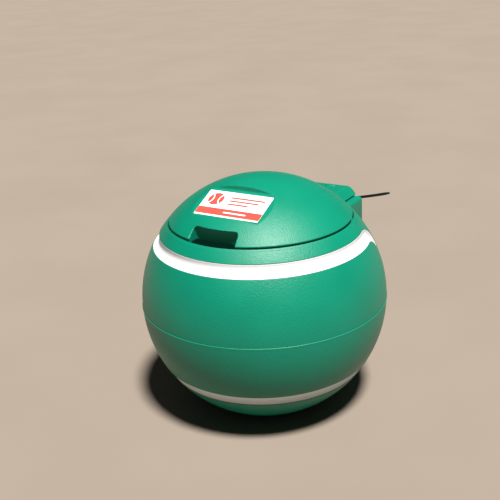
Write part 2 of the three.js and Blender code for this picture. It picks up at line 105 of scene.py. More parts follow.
WALL = 5
BASE_EDGE_R = 9
RIDGE_TOP = 1.6  # the mould line: it swells slowly from its foot, and drops off at its crest
RIDGE_CREST = -0.7
RIDGE_CREST_R = 0.35
RIDGE_FOOT = -9
RIDGE_FOOT_R = 30
RIDGE_NICK = 0.3  # the fine nick just above the mould line
RIDGE_NICK_UP = 0.4
COLLAR_EDGE_R = 0.9
BAND_LAT = 32.1  # how far up the front the white band's middle is
BAND_LON = 121.8  # how far round from the front its rear legs are
BAND_BEND = 15.8  # the radius of its bends
GROOVE_HALF = 10.9
GROOVE_DEPTH = 8
GROOVE_LIP = 0.8
GROOVE_CORNER = 0.8
GROOVE_WALL_SLOPE = 14
GROOVE_WALL_FOOT = 2.5
GROOVE_WALL_R = 6
BAND_SUNK = 0.3
BAND_HOLLOW = 5
BAND_EDGE_R = 0.5
MOUTH_R = 148
MOUTH_LIP = 0.5
RIM_WIDTH = 4.6  # the shallow step on the collar, beside the lid
RIM_SUNK = 0.6
RIM_RISE = 0.1
RIM_FOOT_R = 0.5
LEDGE_R = 136  # the ledge that the lid rests on
LEDGE_Z = 124
LEDGE_UNDER = 117.5
LEDGE_ROOT = 105
LEDGE_ROOT_R = 1
LEDGE_EDGE_R = 1.5
DRAIN_AT = 28
DRAIN_R = 5

BLOCK_HALF = 84.5
BLOCK_TOP = 117
BLOCK_BACK = PLATE_FRONT - GAP
BLOCK_LOW_REAR = -58
BLOCK_LOW_FRONT = -86
BLOCK_CORNER = 10
BLOCK_TOP_CORNER = 6
BLOCK_EDGE = 3.5
BLOCK_FILLET = 7
BLOCK_SUNK = 2.5  # how deep the block's root lies in the ball's wall
BLOCK_INSIDE = 110
BLOCK_STEPS = 16  # rings along the block's sides
BLOCK_BUNCH = 1.6  # how closely the rings gather towards its rear
CORE_LOW = -190
HOLLOW_EDGE = 3

TONGUE_TOP = 135
TONGUE_LOW = 119
TONGUE_TOP_HALF = 59.5
TONGUE_LOW_HALF = 74
KNUCKLE_R = 8
TONGUE_CHAMFER = (3, 4)
TONGUE_SPARE = 2  # the room round the tongue
LEDGE_SPARE = 0.8  # the room between the tongue and the ledge
NOTCH_SPARE = 1.5  # the room in front of each ear
NOTCH_LOW = 110
EAR_IN = 20.5
EAR_OUT = 38.5
EAR_FRONT_R = 9
EAR_ROOT = 3
EAR_EDGE = 0.9
TONGUE_START = 90
CUT_FROM = 100  # how far the cutters behind the ball reach
CUT_TO = 230
CUT_TOP = 150
PIN_R = 4
PIN_START = -58
PIN_END = 51
BUSH_R = PIN_R + 1.2

SKIRT_EDGE_R = 0.8
LID_EDGE_R = 0.5
UNDERCUT = 5
UNDERCUT_R = 2
LID_VOXEL = 1.2

TO_LABEL = Matrix.Rotation(math.radians(24), 4, "X")  # tips a level flat forwards
LABEL_FLAT = 188.7  # the flat's distance from the centre
RECESS_FOOT = (-29.5, 36.5)  # where the flat starts and ends
RECESS_LEAN = 0.42
RECESS_HALF = 90
LABEL_W = 114
LABEL_H = 56
LABEL_UP = 1.8
LABEL_PROUD = 0.7
INK = 0.06  # a print's thickness
STRIPE = (3.2, 18)
DASH = (9.2, 11.8)

SLOT_HALF = 41.5
SLOT_TOP_HALF = 39
SLOT_TOP = 151.5
SLOT_CORNER = 6
SLOT_FRONT = -180
SLOT_BACK = -118
SLOT_FOOT = 110
SLOT_WALL_LOW = 128
POCKET_WALL = 4

PLATE_CORNER = 10
PLATE_EDGE = 0.6
SPREADER_CORNER = 8
SPREADER_EDGE = 0.4
BOLT_X = 50
BOLT_Z = 44
BOLT_HOLE_R = 3.4
THREAD_PITCH = 1.0
THREAD_DEPTH = 0.5
POST_R = 30
TIE_R = POST_R + 1.5
TIE_Z = 67
TIE_WIDTH = 4.8
TIE_THICK = 1.4
TAIL_LENGTH = 94
TAIL_RISE = 13
TOOTH_STEP = 0.6
TOOTH_DEPTH = 0.14
TIE_SLOT_HALF = (2.2, 4)
TIE_SLOT_R = 2

# ---- the stage ----

FLOOR_HALF = 40
SUN_AZIMUTH = 52
SUN_HEIGHT = 66
SUN_ANGLE = 9
SUN_ENERGY = 9
SKY_STRENGTH = 0.05
CAMERA_FROM_CENTRE = Vector((0.6826, -1.0923, 0.5681))
CAMERA_HEADING = 32.87
CAMERA_DOWN = 20.9
CAMERA_ROLL = -3.19
LENS = 61.2


# ---- mesh tools ----

def add_object(name, points, faces):
    """A mesh object, in millimetres, with its faces turned outwards."""
    mesh = bpy.data.meshes.new(name)
    mesh.from_pydata([tuple(map(float, p)) for p in points], [], faces)
    made = bmesh.new()
    made.from_mesh(mesh)
    bmesh.ops.remove_doubles(made, verts=made.verts, dist=WELD)
    bmesh.ops.recalc_face_normals(made, faces=made.faces)
    made.to_mesh(mesh)
    made.free()
    obj = bpy.data.objects.new(name, mesh)
    bpy.context.scene.collection.objects.link(obj)
    return obj


def settle(obj):
    """Applies the modifiers of obj to its mesh."""
    graph = bpy.context.evaluated_depsgraph_get()
    result = bpy.data.meshes.new_from_object(obj.evaluated_get(graph))
    old = obj.data
    obj.modifiers.clear()
    obj.data = result
    bpy.data.meshes.remove(old)
    return obj


def join(target, tool, operation):
    """A boolean of two closed objects. The tool is used up."""
    modifier = target.modifiers.new("join", "BOOLEAN")
    modifier.operation = operation
    modifier.solver = "MANIFOLD"
    modifier.object = tool
    settle(target)
    bpy.data.objects.remove(tool)
    return target


def cut(target, tool):
    return join(target, tool, "DIFFERENCE")


def add(target, tool):
    return join(target, tool, "UNION")


def turn(obj, matrix):
    """Transforms the mesh itself."""
    obj.data.transform(matrix)
    return obj


def shift(obj, x, y, z):
    return turn(obj, Matrix.Translation((x, y, z)))


def bevel(obj, width, segments):
    modifier = obj.modifiers.new("edges", "BEVEL")
    modifier.width = width
    modifier.segments = segments
    modifier.limit_method = "ANGLE"
    modifier.angle_limit = math.radians(BEVEL_ANGLE)
    return settle(obj)


def rounded(points, closed=False):
    """An outline of (a, b, radius) corners as (a, b) points, with arcs in place of the corners."""
    result = []
    count = len(points)
    for i, (a, b, radius) in enumerate(points):
        ends = not closed and i in (0, count - 1)
        if radius <= 0 or ends:
            result.append((a, b))
            continue
        here = Vector((a, b))
        before = Vector(points[i - 1][:2]) - here
        after = Vector(points[(i + 1) % count][:2]) - here
        half = before.angle(after) / 2
        most = SIDE_SHARE * min(before.length, after.length)
        reach = min(radius / math.tan(half), most)
        radius = reach * math.tan(half)
        towards = (before.normalized() + after.normalized()).normalized()
        middle = here + towards * (radius / math.sin(half))
        start = here + before.normalized() * reach - middle
        sweep = start.angle_signed(here + after.normalized() * reach - middle)
        steps = max(2, math.ceil(abs(sweep) / math.radians(ARC_STEP)))
        for k in range(steps + 1):
            turned = start.copy()
            turned.rotate(Matrix.Rotation(-sweep * k / steps, 2))
            result.append(tuple(middle + turned))
    return result


def lathe(name, profile, turns=256):
    """A profile of (radius, height) points turned about Z. A profile off the axis is a loop."""
    angles = np.radians(360.0 * np.arange(turns) / turns)
    loop = profile[0][0] > ON_AXIS
    points, rows = [], []
    for r, z in profile:
        if r < ON_AXIS:
            rows.append([len(points)] * turns)
            points.append((0, 0, z))
        else:
            rows.append(list(range(len(points), len(points) + turns)))
            points += [(r * math.cos(t), r * math.sin(t), z) for t in angles]
    faces = []
    pairs = list(zip(rows, rows[1:])) + ([(rows[-1], rows[0])] if loop else [])
    for low, high in pairs:
        for j in range(turns):
            k = (j + 1) % turns
            corners = [low[j], low[k], high[k], high[j]]
            faces.append([c for i, c in enumerate(corners) if c not in corners[:i]])
    return add_object(name, points, faces)


def prism(name, outline, low, high, axis="y"):
    """An outline of (a, b) points extruded along an axis. Its points are (x, z) along y, (y, z)
    along x, and (x, y) along z."""
    place = {
        "x": lambda a, b, h: (h, a, b),
        "y": lambda a, b, h: (a, h, b),
        "z": lambda a, b, h: (a, b, h),
    }[axis]
    count = len(outline)
    points = [place(a, b, low) for a, b in outline] + [place(a, b, high) for a, b in outline]
    faces = [list(range(count)), list(range(count, 2 * count))]
    faces += [[i, (i + 1) % count, count + (i + 1) % count, count + i] for i in range(count)]
    return add_object(name, points, faces)


def block_box(name, low, high):
    """A box from its lowest and highest corners."""
    (x0, y0, z0), (x1, y1, z1) = low, high
    return prism(name, [(x0, z0), (x1, z0), (x1, z1), (x0, z1)], y0, y1)


def bar(name, radius, low, high, axis="x", turns=48):
    """A round bar along X or Z."""
    profile = [(0, low), (radius, low), (radius, high), (0, high)]
    obj = lathe(name, profile, turns)
    if axis == "x":
        turn(obj, Matrix.Rotation(math.radians(90), 4, "Y"))
    return obj


def ring_radius(radius, z):
    """A sphere's half width at a height, or its height at a half width."""
    return math.sqrt(radius * radius - z * z)


def arc(radius, low, high, step=2.5):
    """A sphere's outline between two heights, as corners that need no rounding."""
    first, last = math.asin(low / radius), math.asin(min(1, high / radius))
    count = max(1, round(abs(last - first) / math.radians(step)))
    corners = []
    for i in range(count + 1):
        t = first + (last - first) * i / count
        at_pole = t >= math.pi / 2 - ON_AXIS
        corners.append((0 if at_pole else radius * math.cos(t), radius * math.sin(t), 0))
    return corners


def round_end(corners, radius, first=False):
    """The same corners with the last one, or the first one, rounded."""
    place = 0 if first else -1
    corners = list(corners)
    corners[place] = (*corners[place][:2], radius)
    return corners


# ---- the ball's body ----

def shell_outline():
    """The section of the ball's wall, from the middle of its base, up outside and down inside."""
    inner = BALL_R - WALL
    lip = ring_radius(BALL_R - RIM_SUNK, MOUTH_R)
    step = BALL_R * math.sin(math.asin(lip / (BALL_R - RIM_SUNK)) - RIM_WIDTH / BALL_R)
    bottom = round_end(arc(BALL_R, BASE_Z, RIDGE_FOOT), BASE_EDGE_R, True)
    bottom = round_end(bottom, RIDGE_FOOT_R)
    ridge = [
        (BALL_R + RIDGE_PROUD, RIDGE_CREST, RIDGE_CREST_R),
        (BALL_R - RIDGE_NICK, RIDGE_CREST + RIDGE_NICK_UP, RIDGE_NICK),
    ]
    collar = round_end(arc(BALL_R, RIDGE_TOP, step), COLLAR_EDGE_R)
    rim = round_end(arc(BALL_R - RIM_SUNK, step + RIM_RISE, lip), MOUTH_LIP)
    rim = round_end(rim, RIM_FOOT_R, True)
    inside = [
        (MOUTH_R, LEDGE_Z, LEDGE_ROOT_R),
        (LEDGE_R, LEDGE_Z, LEDGE_EDGE_R),
        (LEDGE_R, LEDGE_UNDER, LEDGE_EDGE_R),
        *reversed(arc(inner, BASE_Z + WALL, LEDGE_ROOT, 5)),
        (0, BASE_Z + WALL, 0),
    ]
    return rounded([(0, BASE_Z, 0)] + bottom + ridge + collar + rim + inside)


def on_sphere(lon, lat):
    """A direction from the ball's centre, from its angle off the front and its height angle."""
    level = math.cos(lat)
    return Vector((level * math.sin(lon), -level * math.cos(lon), math.sin(lat)))


def evenly(first, last, step):
    """Angles from first to last, in radians, at most step degrees apart."""
    count = math.ceil(abs(last - first) / math.radians(step))
    return [first + (last - first) * i / count for i in range(count + 1)]


def seam_line(step):
    """Directions along the seam's middle: along a parallel, round a bend, down a meridian, and
    the same again mirrored down and across."""
    lat, lon, bend = map(math.radians, (BAND_LAT, BAND_LON, BAND_BEND))
    bend_lat = lat - bend
    to_meridian = math.asin(math.sin(bend) / math.cos(bend_lat))
    bend_lon = lon - to_meridian
    middle = on_sphere(bend_lon, bend_lat)
    swept = math.atan2(1, math.sin(bend_lat) * math.tan(to_meridian))
    meets = math.atan(math.tan(bend_lat) / math.cos(to_meridian))
    quarter = [on_sphere(a, lat) for a in evenly(0, bend_lon, step)[:-1]]
    for t in evenly(0, swept, 3 * step):
        quarter.append(Matrix.Rotation(-t, 3, middle) @ on_sphere(bend_lon, lat))
    quarter += [on_sphere(lon, a) for a in evenly(meets, 0, step)[1:]]
    half = quarter + [Vector((p.x, p.y, -p.z)) for p in reversed(quarter[:-1])]
    return half + [Vector((-p.x, p.y, p.z)) for p in reversed(half[1:-1])]


def along_seam(name, section, step=1.5):
    """A section swept round the seam. Its points are (across, depth): across the groove's middle
    line, and below the chord between the groove's edges."""
    line = seam_line(step)
    chord = ring_radius(BALL_R, GROOVE_HALF)
    rings = []
    for i, out in enumerate(line):
        run = line[(i + 1) % len(line)] - line[i - 1]
        across = out.cross(run).normalized()
        rings.append([out * (chord - depth) + across * a for a, depth in section])
    return loft(name, rings, closed=True)


def groove_cutter():
    """The groove, with round lips."""
    half, lip = GROOVE_HALF, GROOVE_LIP
    sunk = 0.1
    right = [(half - GROOVE_CORNER, GROOVE_DEPTH), (half, GROOVE_DEPTH - GROOVE_CORNER)]
    for t in np.radians(np.linspace(0, 90, 7)):
        right.append((half + lip * (1 - math.cos(t)), sunk + lip * (1 - math.sin(t))))
    right.append((half + lip, -WALL))
    return along_seam("groove", [(-a, depth) for a, depth in reversed(right)] + right)


def groove_wall():
    """The wall behind the groove, inside the ball."""
    foot, deep = GROOVE_HALF + GROOVE_WALL_SLOPE, GROOVE_DEPTH + WALL
    corners = [
        (-foot, GROOVE_WALL_FOOT, 0), (-GROOVE_HALF, deep, GROOVE_WALL_R),
        (GROOVE_HALF, deep, GROOVE_WALL_R), (foot, GROOVE_WALL_FOOT, 0),
    ]
    return along_seam("groove_wall", rounded(corners, closed=True), 3)


def seam_band():
    """The white inlay: its face curves in."""
    half = GROOVE_HALF - GAP
    face = []
    for t in np.linspace(1, -1, 17):
        face.append((half * t, BAND_SUNK + BAND_HOLLOW * (1 - t * t), 0))
    face = round_end(round_end(face, BAND_EDGE_R), BAND_EDGE_R, True)
    back = [(-half, GROOVE_DEPTH - GAP, 0), (half, GROOVE_DEPTH - GAP, 0)]
    return along_seam("seam_band", rounded(back + face, closed=True))


def rounded_rectangle(half, low, high, low_radius, high_radius, each=7, along=9):
    """Points round a rectangle in X and Z with round corners, the same number whatever its size."""
    corners = []
    quarters = (
        (1, high, -high_radius, 0), (-1, high, -high_radius, 90),
        (-1, low, low_radius, 180), (1, low, low_radius, 270),
    )
    for x_side, z, radius, first in quarters:
        middle = Vector((x_side * (half - abs(radius)), z + radius))
        angles = np.radians(np.linspace(first, first + 90, each))
        corners.append([middle + abs(radius) * Vector((math.cos(t), math.sin(t))) for t in angles])
    points = []
    for corner, after in zip(corners, corners[1:] + corners[:1]):
        points += corner
        points += [corner[-1].lerp(after[0], (k + 1) / (along + 1)) for k in range(along)]
    return points


def outward(points):
    """Unit directions out of a loop of points that runs anticlockwise."""
    result = []
    for before, after in zip(points[-1:] + points[:-1], points[1:] + points[:1]):
        run = (after - before).normalized()
        result.append(Vector((run.y, -run.x)))
    return result


def on_ball(point):
    """How far back the ball's surface is at a point's X and Z."""
    return math.sqrt(max(0.0, BALL_R ** 2 - point.x ** 2 - point.y ** 2))


def loft(name, rings, closed=False):
    """A solid through rings of the same number of 3-D points, which may close on itself."""
    count = len(rings[0])
    points = [p for ring in rings for p in ring]
    faces = [] if closed else [list(range(count)), list(range(len(points) - count, len(points)))]
    for i in range(len(rings) if closed else len(rings) - 1):
        here, after = i * count, (i + 1) % len(rings) * count
        for j in range(count):
            k = (j + 1) % count
            faces.append([here + j, here + k, after + k, after + j])
    return add_object(name, points, faces)


def pulled_in(points, normals, inset, y):
    """A ring at a Y, from points in X and Z moved inwards."""
    return [(p.x - n.x * inset, y, p.y - n.y * inset) for p, n in zip(points, normals)]


def mounting_block():
    """The block on the ball's back: a round-edged pad that flows into the ball through a fillet."""
    rear = rounded_rectangle(BLOCK_HALF, BLOCK_LOW_REAR, BLOCK_TOP, BLOCK_CORNER, BLOCK_TOP_CORNER)
    front = rounded_rectangle(BLOCK_HALF, BLOCK_LOW_FRONT, BLOCK_TOP, BLOCK_CORNER, BLOCK_TOP_CORNER)
    rear_out, front_out = outward(rear), outward(front)
    rings = []
    for k in range(6):
        t = math.radians(90 * k / 5)
        inset = BLOCK_EDGE * (1 - math.sin(t))
        rings.append(pulled_in(rear, rear_out, inset, BLOCK_BACK - BLOCK_EDGE * (1 - math.cos(t))))
    side = BLOCK_BACK - BLOCK_EDGE
    for k in range(1, BLOCK_STEPS + 1):
        t = (k / BLOCK_STEPS) ** BLOCK_BUNCH
        ring = []
        for p, q in zip(rear, front):
            here = p.lerp(q, t)
            ring.append((here.x, side + (on_ball(q) + BLOCK_FILLET - side) * t, here.y))
        rings.append(ring)
    for k in range(1, 7):
        reach = BLOCK_FILLET * k / 6
        rise = BLOCK_FILLET - math.sqrt(BLOCK_FILLET ** 2 - (BLOCK_FILLET - reach) ** 2)
        ring = []
        for q, n in zip(front, front_out):
            here = q + n * reach
            ring.append((here.x, on_ball(here) + rise, here.y))
        rings.append(ring)
    sunk = [q + n * (BLOCK_FILLET + 1) for q, n in zip(front, front_out)]
    rings.append([(q.x, on_ball(q) - BLOCK_SUNK, q.y) for q in sunk])
    rings.append([(q.x, BLOCK_INSIDE, q.y) for q in front])
    core_r = BALL_R - BLOCK_SUNK
    core = [(0, CORE_LOW, 0), *arc(core_r, CORE_LOW, core_r, 3)]
    return cut(loft("mounting_block", rings), lathe("core", rounded(core), 192))


def block_hollow():
    """The space inside the block, which opens into the ball."""
    half, top, edge = BLOCK_HALF - WALL, BLOCK_TOP - WALL, HOLLOW_EDGE
    low_rear, low_front = BLOCK_LOW_REAR + WALL, BLOCK_LOW_FRONT + WALL + 2
    rear = rounded_rectangle(half, low_rear, top, BLOCK_CORNER - edge, BLOCK_TOP_CORNER)
    front = rounded_rectangle(half, low_front, top, BLOCK_CORNER - edge, BLOCK_TOP_CORNER)
    rear_out, back = outward(rear), BLOCK_BACK - WALL
    rings = [[(p.x, BLOCK_INSIDE + 2, p.y) for p in front]]
    for k in range(5):
        t = math.radians(90 * k / 4)
        inset = edge * (1 - math.cos(t))
        rings.append(pulled_in(rear, rear_out, inset, back - edge + edge * math.sin(t)))
    return loft("block_hollow", rings)


def tongue_section():
    """The tongue from behind: wider at its foot."""
    return [
        (-TONGUE_LOW_HALF, TONGUE_LOW), (TONGUE_LOW_HALF, TONGUE_LOW),
        (TONGUE_TOP_HALF, TONGUE_TOP), (-TONGUE_TOP_HALF, TONGUE_TOP),
    ]


def round_the_pin(first, last, radius=KNUCKLE_R):
    """Points on the knuckles' round end, seen from the side."""
    return bent(HINGE_Y, HINGE_Z, radius, first, last, 7)


def ear_side():
    """An ear from the side: a post with a round top, whose foot is in the block's wall."""
    front, rear = HINGE_Y - EAR_FRONT_R, HINGE_Y + KNUCKLE_R
    levels_off = 180 - math.degrees(math.asin(KNUCKLE_R / EAR_FRONT_R))
    foot = BLOCK_TOP - EAR_ROOT
    return [
        (front, foot), (rear, foot), *round_the_pin(0, 90),
        *round_the_pin(levels_off, 180, EAR_FRONT_R),
    ]


def tongue_side():
    """The tongue from the side, with a round end about the pin."""
    rear = HINGE_Y + KNUCKLE_R
    along, up = TONGUE_CHAMFER
    return [
        (TONGUE_START, TONGUE_LOW), (rear - along, TONGUE_LOW), (rear, TONGUE_LOW + up),
        *round_the_pin(0, 90), (TONGUE_START, TONGUE_TOP),
    ]


def tongue_passage():
    """The space over the block and the collar that the tongue lies in."""
    half, low = TONGUE_LOW_HALF + TONGUE_SPARE, TONGUE_LOW - TONGUE_SPARE
    space = block_box("passage", (-half, CUT_FROM, low), (half, CUT_TO, CUT_TOP))
    return cut(space, bar("keep", MOUTH_R - SHY, low - 20, CUT_TOP + 10, "z", 256))


def ball_body():
    """The lower moulding: the ball's wall, the band's groove, the block and the hinge's ears."""
    body = lathe("ball_body", shell_outline(), 288)
    add(body, groove_wall())
    cut(body, groove_cutter())
    add(body, mounting_block())
    cut(body, block_hollow())
    cut(body, tongue_passage())
    for low in (-EAR_OUT, EAR_IN):
        high = low + EAR_OUT - EAR_IN
        ear = prism("ear", ear_side(), low, high, "x")
        bevel(ear, EAR_EDGE, 2)
        add(body, ear)
        cut(body, shift(bar("bore", BUSH_R + GAP, low - 1, high + 1), 0, HINGE_Y, HINGE_Z))
    for x in (-DRAIN_AT, DRAIN_AT):
        for y in (-DRAIN_AT, DRAIN_AT):
            cut(body, shift(bar("drain", DRAIN_R, BASE_Z - 4, BASE_Z + 9, "z", 32), x, y, 0))
    return body


# ---- the lid ----

def recess_cutter(grow):
    """The label's recess, made larger all round: it stands on the label's flat and widens upwards."""
    rise = 40
    spread = RECESS_LEAN * rise
    low, high = RECESS_FOOT[0] - grow, RECESS_FOOT[1] + grow
    foot, top = LABEL_FLAT - grow, LABEL_FLAT - grow + rise
    outline = [(low, foot), (high, foot), (high + spread, top), (low - spread, top)]
    half = RECESS_HALF + grow
    return turn(prism("recess", outline, -half, half, "x"), TO_LABEL)


def slot_outline(grow, low):
    """The finger slot from the front, made larger all round."""
    half, top_half, top = SLOT_HALF + grow, SLOT_TOP_HALF + grow, SLOT_TOP + grow
    foot = [(-half, low, 0), (half, low, 0)]
    head = [(top_half, top, SLOT_CORNER), (-top_half, top, SLOT_CORNER)]
    return rounded(foot + head, closed=True)


def lid_tongue():
    """The tongue that reaches back from the dome, with its knuckles between the ears."""
    tongue = prism("tongue", tongue_section(), CUT_FROM, CUT_TO)
    join(tongue, prism("side", tongue_side(), -100, 100, "x"), "INTERSECT")
    over_ledge = LEDGE_Z + LEDGE_SPARE
    cut(tongue, bar("ledge", MOUTH_R + 2.5, over_ledge - 20, over_ledge, "z", 192))
    cut(tongue, bar("inside", SKIRT_R - 2, TONGUE_LOW - 20, TONGUE_TOP + 20, "z", 192))
    for low in (-EAR_OUT - 1, EAR_IN - 1):
        high = low + EAR_OUT - EAR_IN + 2
        front = HINGE_Y - KNUCKLE_R - NOTCH_SPARE
        cut(tongue, block_box("notch", (low, front, NOTCH_LOW), (high, CUT_TO, CUT_TOP)))
    return tongue


def lid_dome():
    """The lid: a thin dome with a skirt, the label's recess, the finger slot and the tongue."""
    inner = BALL_R - WALL
    skirt_in = SKIRT_R - WALL + 1
    rim = ring_radius(BALL_R, LID_R)
    outline = [(0, LID_LOW, 0), (SKIRT_R, LID_LOW, SKIRT_EDGE_R), (SKIRT_R, rim - UNDERCUT, UNDERCUT_R)]
    outline += round_end(arc(BALL_R, rim, BALL_R), LID_EDGE_R, True)
    lid = lathe("lid_dome", rounded(outline))
    below = LID_LOW - 5
    under = [(0, below, 0), (skirt_in, below, 0), *arc(inner, ring_radius(inner, skirt_in), inner)]
    hollow = lathe("hollow", rounded(under), 192)
    cut(hollow, recess_cutter(WALL))
    pocket = slot_outline(POCKET_WALL, SLOT_WALL_LOW)
    cut(hollow, prism("pocket", pocket, SLOT_FRONT, SLOT_BACK + POCKET_WALL))
    cut(lid, hollow)
    cut(lid, recess_cutter(0))
    cut(lid, prism("slot", slot_outline(0, SLOT_FOOT), SLOT_FRONT, SLOT_BACK))
    add(lid, lid_tongue())
    cut(lid, shift(bar("bore", PIN_R + GAP, -90, PIN_START - 3), 0, HINGE_Y, HINGE_Z))
    return soften_lid(lid)


def soften_lid(lid):
    """Gives the cut lid the soft edges of a moulding, and pulls its dome back onto the ball's outer and
    inner spheres above the rim.
    """
    remesh = lid.modifiers.new("even", "REMESH")
    remesh.mode = "VOXEL"
    remesh.voxel_size = LID_VOXEL
    settle(lid)
    x, y, z = mesh_points(lid).T
    on_tongue = (np.abs(x) < 80) & (y > 95)
    groups = {
        "cuts": (y < -20) & (z > LID_LOW + 4),
        "slot": (y < -125) & (np.abs(x) < 55) & (z < 160),
        "root": on_tongue & (y < 160) & (z > 133),
        "all": z > 0,
    }
    for name, repeats in (("all", 2), ("cuts", 4), ("slot", 9), ("root", 30)):
        group = lid.vertex_groups.new(name=name)
        group.add([int(i) for i in np.nonzero(groups[name])[0]], 1.0, "REPLACE")
        modifier = lid.modifiers.new(name, "SMOOTH")
        modifier.factor = 0.5
        modifier.iterations = repeats
        modifier.vertex_group = name
    settle(lid)
    points = mesh_points(lid)
    near = 0.25
    above_rim = points[:, 2] > ring_radius(BALL_R, LID_R) + 0.6
    for radius in (BALL_R, BALL_R - WALL):
        far = np.linalg.norm(points, axis=1)
        off = far - radius
        pull = np.clip(1.6 - np.abs(off) / near, 0, 1) * above_rim
        points -= points / far[:, None] * (off * pull)[:, None]
    lid.data.vertices.foreach_set("co", points.astype(np.float32).ravel())
    lid.vertex_groups.clear()
    return lid


def mesh_points(obj):
    """The mesh's points as rows of an array."""
    points = np.zeros(len(obj.data.vertices) * 3)
    obj.data.vertices.foreach_get("co", points)
    return points.reshape(-1, 3)


# ---- the label ----

def on_label(name, outline, low, high):
    """A thin print or plate on the label's flat, from an outline across it and up its slope."""
    return turn(prism(name, outline, low, high, "z"), TO_LABEL)


def rectangle(x0, y0, x1, y1, radius):
    """A rectangle's outline with round corners."""
    corners = [(x0, y0, radius), (x1, y0, radius), (x1, y1, radius), (x0, y1, radius)]
    return rounded(corners, closed=True)


def circle(x, y, radius, steps=64):
    angles = [2 * math.pi * i / steps for i in range(steps)]
    return [(x + radius * math.cos(t), y + radius * math.sin(t)) for t in angles]


def stroke(points, width):
    """A line of the given width through points, as a closed outline with round ends."""
    points = [Vector(p) for p in points]
    left, right = [], []
    for i, p in enumerate(points):
        run = (points[min(i + 1, len(points) - 1)] - points[max(i - 1, 0)]).normalized()
        side = Vector((-run.y, run.x)) * width / 2
        left.append(p + side)
        right.append(p - side)
    caps = []
    for end, first, sign in ((points[-1], left[-1], -1), (points[0], right[0], -1)):
        spoke = first - end
        cap = []
        for k in range(1, 6):
            turned = spoke.copy()
            turned.rotate(Matrix.Rotation(sign * math.pi * k / 6, 2))
            cap.append(end + turned)
        caps.append(cap)
    return [tuple(p) for p in left + caps[0] + right[::-1] + caps[1]]


def bent(x, y, radius, start, end, steps=20):
    """Points on an arc, from start to end in degrees."""
    angles = np.radians(np.linspace(start, end, steps))
    return [(x + radius * math.cos(t), y + radius * math.sin(t)) for t in angles]


def label_prints():
    """Generic prints: a ball sign, three plain bars and a red stripe with a white dash."""
    low, high = LABEL_UP - LABEL_H / 2, LABEL_UP + LABEL_H / 2
    base = LABEL_FLAT + LABEL_PROUD
    first, second = (base, base + INK), (base + INK, base + 2 * INK)
    half = LABEL_W / 2 - 0.2
    stripe = rectangle(-half, low + STRIPE[0], half, low + STRIPE[1], 0.5)
    dash = rectangle(-9, low + DASH[0], 31, low + DASH[1], 1.2)
    cx, cy, r = -36.5, high - 18.5, 13.5
    prints = [
        (on_label("label_stripe", stripe, *first), "label_red"),
        (on_label("label_dash", dash, *second), "label_vinyl"),
        (on_label("label_sign_disc", circle(cx, cy, r), *first), "label_red"),
    ]
    for side, name in ((-1, "label_sign_seam_1"), (1, "label_sign_seam_2")):
        middle = 90 + side * 90
        seam = stroke(bent(cx + side * 19, cy, 14, middle - 41, middle + 41), 1.9)
        prints.append((on_label(name, seam, *second), "label_vinyl"))
    for i, x1 in enumerate((48, 40, 24)):
        y = high - 12 - 7.2 * i
        line = rectangle(-12, y - 1.7, x1, y + 1.7, 1.6)
        prints.append((on_label("label_line_%d" % (i + 1), line, *first), "label_red"))
    return prints


def label_plate():
    low = LABEL_UP - LABEL_H / 2
    outline = rectangle(-LABEL_W / 2, low, LABEL_W / 2, low + LABEL_H, 1.2)
    return on_label("label_plate", outline, LABEL_FLAT + GAP, LABEL_FLAT + LABEL_PROUD)


# ---- hinge and plates ----

def along_hinge(obj):
    """Lays an object made along Z down along the hinge."""
    turn(obj, Matrix.Rotation(math.radians(90), 4, "Y"))
    return shift(obj, 0, HINGE_Y, HINGE_Z)


def hinge_pin():
    chamfer = 0.7
    profile = [
        (0, PIN_START), (PIN_R - chamfer, PIN_START), (PIN_R, PIN_START + chamfer),
        (PIN_R, PIN_END - chamfer), (PIN_R - chamfer, PIN_END), (0, PIN_END),
    ]
    return along_hinge(lathe("hinge_pin_rod", profile, 64))


def pin_plug():
    """The plug that closes the pin's bore, with a dimple in its face."""
    low, high = PIN_START - 4, PIN_START - GAP
    profile = rounded([
        (0, low + 1.2, 0), (1.6, low + 1.2, 0.5), (2.3, low, 0.5),
        (PIN_R, low, 0.8), (PIN_R, high, 0.4), (0, high, 0),
    ])
    return along_hinge(lathe("pin_plug", profile, 64))


def hinge_bush(side):
    """A bush in one of the ears."""
    start, end = (-EAR_OUT, -EAR_IN) if side < 0 else (EAR_IN, EAR_OUT)
    low, high, edge = start + 0.2, end - 0.2, 0.5
    inner = PIN_R + GAP
    profile = rounded([
        (BUSH_R, low, edge), (BUSH_R, high, edge), (inner, high, edge / 2), (inner, low, edge / 2),
    ], closed=True)
    return along_hinge(lathe("bush", profile, 64))


def bolt_places():
    """The X and Z of the four bolts."""
    return [(x, PLATE_Z + up * BOLT_Z) for up in (1, -1) for x in (-BOLT_X, BOLT_X)]


def along_y(obj, x, y, z):
    """Turns an object made along Z so that its top faces the post, with its origin at a place."""
    turn(obj, Matrix.Rotation(math.radians(-90), 4, "X"))
    return shift(obj, x, y, z)


def flat_plate(name, width, height, corner, back, front, edge):
    """An upright plate with round corners and softened edges."""
    outline = rectangle(-width / 2, PLATE_Z - height / 2, width / 2, PLATE_Z + height / 2, corner)
    return bevel(prism(name, outline, back, front), edge, 2)


